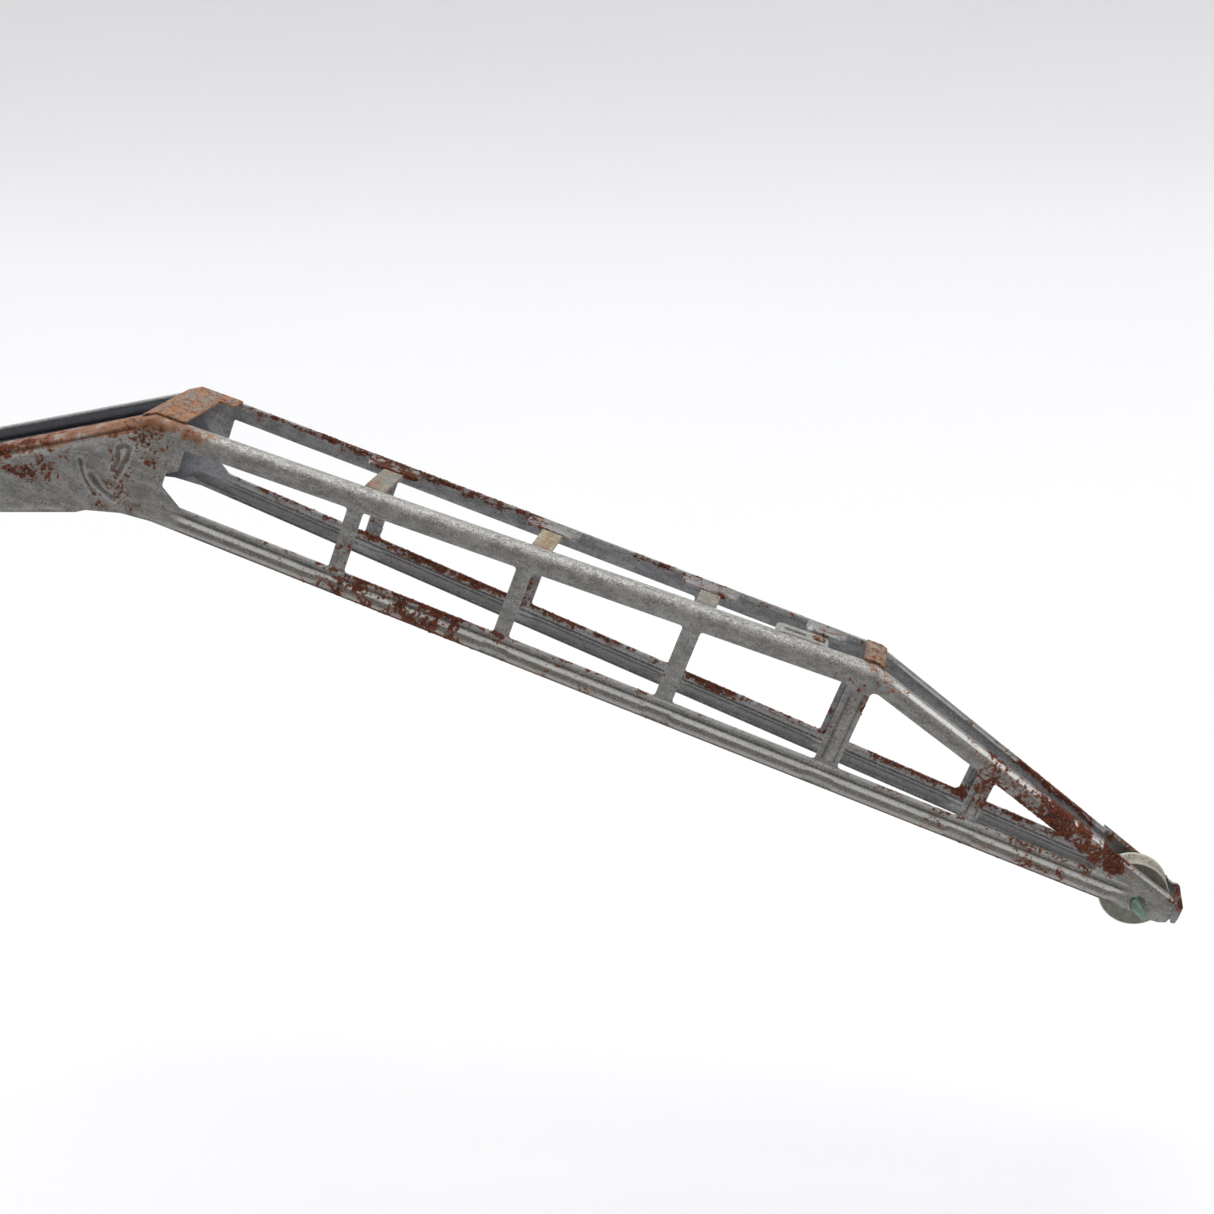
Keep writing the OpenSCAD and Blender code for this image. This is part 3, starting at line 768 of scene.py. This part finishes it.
def skin_of(node, finish, name, angle=SHOULDER_ANGLE, bevel=0.0):
    source = nodes[node]
    mesh = source.data.copy()
    mesh.name = name
    mesh.materials.clear()
    mesh.materials.append(finish)
    work = bmesh.new()
    work.from_mesh(mesh)
    bmesh.ops.remove_doubles(work, verts=work.verts, dist=SAME_POINT)
    bmesh.ops.dissolve_degenerate(work, edges=work.edges, dist=NO_LENGTH)
    for face in work.faces:
        face.material_index = 0
    work.to_mesh(mesh)
    work.free()
    mesh.shade_smooth()
    mesh.set_sharp_from_angle(angle=math.radians(angle))
    obj = bpy.data.objects.new(name, mesh)
    bpy.context.scene.collection.objects.link(obj)
    if bevel:
        soft = obj.modifiers.new("soft edges", "BEVEL")
        soft.width = bevel * MM
        soft.segments = 2
        soft.limit_method = "ANGLE"
        soft.angle_limit = math.radians(CRISP_ANGLE)
        soft.harden_normals = True
    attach(obj, source["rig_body"])
    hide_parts(node)
    return obj


right_skin = skin_of("right_side_frame", near_tin, "right_frame_skin")
left_skin = skin_of("left_side_frame", far_tin, "left_frame_skin")
for node, finish, slot in (
        ("rung_1", strap_grey, "pale_strap"), ("rung_2", strap_cream, "pale_strap"),
        ("rung_3", strap_grey, "pale_strap"), ("anchor_strap", strap_grey, "pale_strap"),
        ("bend_strap", strap_rusty, "pale_strap"), ("knee_plate", knee_rust, "rusty_plate")):
    skin_of(node, finish, node + "_skin", bevel=SOFT_EDGE)
for node in ("right_sheave_half", "left_sheave_half", "sheave_bush"):
    skin_of(node, olive, node + "_skin", angle=TURNED_ANGLE)
print("skins:", [len(s.data.polygons) for s in (right_skin, left_skin)], "faces")

# %% [markdown]
# The pin is a wire, pushed through the sheave and bent over in front of the
# right cheek. A bevelled curve would give an even wire. A sweep carries a
# ring of points along the path and sets a radius at each stop, so that the
# bent end can be hammered thin.

# %% Bent wire pin
RING, BEND_STEPS = 20, 8
WIRE, WIRE_BEND, WIRE_LEAN = 0.48, 0.55, math.radians(35)
BEND_SWELL, STAND_OFF, PAST_LEFT = 0.05, 0.02, 0.2
CHEEK = half_at(AXIS_X)
# how far out along the hammered end, and the radius there
TAIL = ((0.9, 0.50), (1.3, 0.44), (1.7, 0.36), (2.05, 0.29), (2.2, 0.20))


def sweep(name, path, radii, finish):
    """A closed tube through lattice points, with a radius for each."""
    points = [lattice(*p) for p in path]
    verts, faces = [], []
    side = (points[1] - points[0]).normalized().orthogonal().normalized()
    for k, point in enumerate(points):
        run = (points[min(k + 1, len(points) - 1)] - points[max(k - 1, 0)]).normalized()
        side = (side - run * side.dot(run)).normalized()
        other = run.cross(side)
        for j in range(RING):
            turn = 2 * math.pi * j / RING
            ray = side * math.cos(turn) + other * math.sin(turn)
            verts.append(point + ray * radii[k] * MM)
    for k in range(len(points) - 1):
        for j in range(RING):
            a, b = k * RING + j, k * RING + (j + 1) % RING
            faces.append((a, b, b + RING, a + RING))
    faces.append(tuple(range(RING))[::-1])
    faces.append(tuple(range((len(points) - 1) * RING, len(points) * RING)))
    obj = mesh_object(name, verts, faces)
    obj.data.shade_smooth()
    obj.data.set_sharp_from_angle(angle=math.radians(CRISP_ANGLE))
    obj.data.materials.append(finish)
    return obj


def outside_cheek(out, off):
    """A point of the wire, out along its tail and off the right cheek."""
    return (AXIS_X + out * math.cos(WIRE_LEAN), -CHEEK - STAND_OFF - off,
            AXIS_Z - out * math.sin(WIRE_LEAN))


wire_path = [(AXIS_X, CHEEK + PAST_LEFT, AXIS_Z), outside_cheek(0.0, 0.0)]
wire_radii = [WIRE, WIRE]
for k in range(1, BEND_STEPS + 1):
    turn = math.radians(90 * k / BEND_STEPS)
    wire_path.append(outside_cheek(WIRE_BEND * (1 - math.cos(turn)), WIRE_BEND * math.sin(turn)))
    wire_radii.append(WIRE + BEND_SWELL * math.sin(turn))
for out, radius in TAIL:
    wire_path.append(outside_cheek(out, WIRE_BEND))
    wire_radii.append(radius)
pin = sweep("wire_pin", wire_path, wire_radii, green_wire)
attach(pin, "jib")
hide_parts("sheave_pin")
print("pin with", len(pin.data.polygons), "faces")

# %% [markdown]
# Where rust is deep it stands up in flakes, and bump alone leaves the
# outline too clean. Geometry Nodes strews points over both frames, keeps
# those that lie where the finish shows deep rust, and puts a small lumpy
# flake on each. The same sum places the colour and the flakes, so the two
# always agree. None grows at the very nose, where it would stand out past
# the solid model.

# %% Rust flakes: one flake
LUMPS, LUMP_HEIGHT = 900.0, 0.0012


def flake_finish():
    f = Finish("rust flakes")
    place = f.position()
    crumbs = f.noise(place, 2.3, 6.0, 0.7, seed=11.0)
    fine = f.noise(place, 6.0, 3.0, 0.6, seed=2.0)
    tone = f.blend((crumbs * 0.4 + fine * 0.6).ramp(0.40, 0.62),
                   (0.030, 0.008, 0.004), (0.30, 0.075, 0.022))
    return f.surface(tone, 0.9, 0.0, fine, 0.06)


def lumpy_ball(g):
    """A ball of 20 faces and 1 mm radius, its points pushed about by noise."""
    ball = g.add("GeometryNodeMeshIcoSphere", None, {"Radius": MM, "Subdivisions": 1})
    lump = g.add("ShaderNodeTexNoise", None, {"Scale": LUMPS, "Detail": 1.0}, out="Color")
    lump = g.add("ShaderNodeVectorMath", {"operation": "MULTIPLY_ADD"},
                 {0: lump, 1: (LUMP_HEIGHT,) * 3, 2: (-LUMP_HEIGHT / 2,) * 3})
    return g.add("GeometryNodeSetPosition", None, {"Geometry": ball, "Offset": lump})


print("flake shape ready")

# %% [markdown]
# The tree has a named input for each size, so that it can be tried by hand
# in Blender. It ends in Realize Instances, which makes the flakes real faces.

# %% Rust flakes: the node tree
FLAKE_INPUTS = (
    ("Geometry", "NodeSocketGeometry"), ("Points per mm2", "NodeSocketFloat"),
    ("Least rust", "NodeSocketFloat"), ("Smallest", "NodeSocketFloat"),
    ("Largest", "NodeSocketFloat"), ("Seed", "NodeSocketInt"),
    ("Finish", "NodeSocketMaterial"))
NOSE_FROM, NOSE_TO = 101.3, 101.0
FLAKE_WIDE, FLAKE_THICK = 0.75, 0.38


def flake_tree():
    tree = bpy.data.node_groups.new("rust flakes", "GeometryNodeTree")
    for name, kind in FLAKE_INPUTS:
        tree.interface.new_socket(name=name, in_out="INPUT", socket_type=kind)
    tree.interface.new_socket(
        name="Geometry", in_out="OUTPUT", socket_type="NodeSocketGeometry")
    g = LatticeGraph(tree)
    given = tree.nodes.new("NodeGroupInput")
    value = {o.name: Val(g, o) for o in given.outputs if o.name}
    scatter = g.add("GeometryNodeDistributePointsOnFaces", {"distribute_method": "RANDOM"},
                    {"Mesh": value["Geometry"], "Density": value["Points per mm2"] * 1e6,
                     "Seed": value["Seed"]}, out="Points")
    turned = Val(g, scatter.socket.node.outputs["Rotation"])
    place = g.place(g.add("GeometryNodeInputPosition"))
    x, y, z = g.axes(place)
    left = y.ramp(-0.1, 0.1)
    field = (rust_field(g, place, **FAR_RUST)[0] * left
             + rust_field(g, place, **NEAR_RUST)[0] * (1.0 - left))
    sound = g.add("ShaderNodeMath", {"operation": "LESS_THAN"},
                  {0: field * x.ramp(NOSE_FROM, NOSE_TO), 1: value["Least rust"]})
    kept = g.add("GeometryNodeDeleteGeometry", {"domain": "POINT"},
                 {"Geometry": scatter, "Selection": sound})
    size = g.add("FunctionNodeRandomValue", {"data_type": "FLOAT"},
                 {"Min": value["Smallest"], "Max": value["Largest"], "Seed": value["Seed"]},
                 out=1)
    shape = g.add("ShaderNodeCombineXYZ", None,
                  {0: size, 1: size * FLAKE_WIDE, 2: size * FLAKE_THICK})
    flakes = g.add("GeometryNodeInstanceOnPoints", None,
                   {"Points": kept, "Instance": lumpy_ball(g), "Rotation": turned,
                    "Scale": shape})
    whole = g.add("GeometryNodeRealizeInstances", None, {"Geometry": flakes})
    done = g.add("GeometryNodeSetMaterial", None,
                 {"Geometry": whole, "Material": value["Finish"]})
    g.add("NodeGroupOutput", None, {"Geometry": done})
    return tree


flakes_tree = flake_tree()
print("flake tree with", len(flakes_tree.nodes), "nodes")

# %% [markdown]
# The tree runs on a copy of both frames, and only its flakes are kept. The
# sizes are given in millimetres, and each input is found by its identifier.

# %% Rust flakes: the piece
FLAKE_SETTINGS = {"Points per mm2": 18.0, "Least rust": 0.70, "Smallest": 0.05,
                  "Largest": 0.17, "Seed": 7, "Finish": flake_finish()}

both = bmesh.new()
for skin in (right_skin, left_skin):
    both.from_mesh(skin.data)
base_mesh = bpy.data.meshes.new("flake base")
both.to_mesh(base_mesh)
both.free()
base = bpy.data.objects.new("flake base", base_mesh)
bpy.context.scene.collection.objects.link(base)
strew = base.modifiers.new("rust flakes", "NODES")
strew.node_group = flakes_tree
for item in flakes_tree.interface.items_tree:
    if item.name in FLAKE_SETTINGS:
        strew[item.identifier] = FLAKE_SETTINGS[item.name]
graph = bpy.context.evaluated_depsgraph_get()
flake_mesh = bpy.data.meshes.new_from_object(base.evaluated_get(graph), depsgraph=graph)
base.modifiers.remove(strew)
bpy.data.objects.remove(base)
flake_mesh.name = "rust_flakes"
flake_mesh.shade_smooth()
rust_flakes = bpy.data.objects.new("rust_flakes", flake_mesh)
bpy.context.scene.collection.objects.link(rust_flakes)
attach(rust_flakes, "jib")
print("flakes:", len(flake_mesh.polygons), "faces")

# %% [markdown]
# The axle, the bushes, the rivet and the welds are plain turned or pressed
# shapes, and the solid model has them whole. They keep their own meshes and
# only get a finish.

# %% Finishes for the other solid parts
def dress(finish, *names):
    for name in names:
        mesh = nodes[name].data
        mesh.materials.clear()
        mesh.materials.append(finish)
    print("dressed", ", ".join(names))


dress(turned_steel, "foot_axle")
dress(bush_steel, "right_foot_bush", "left_foot_bush")
dress(strap_rusty, "anchor_rivet")
dress(strap_grey, "spot_welds")

# %% Close the scene
print("scene built")
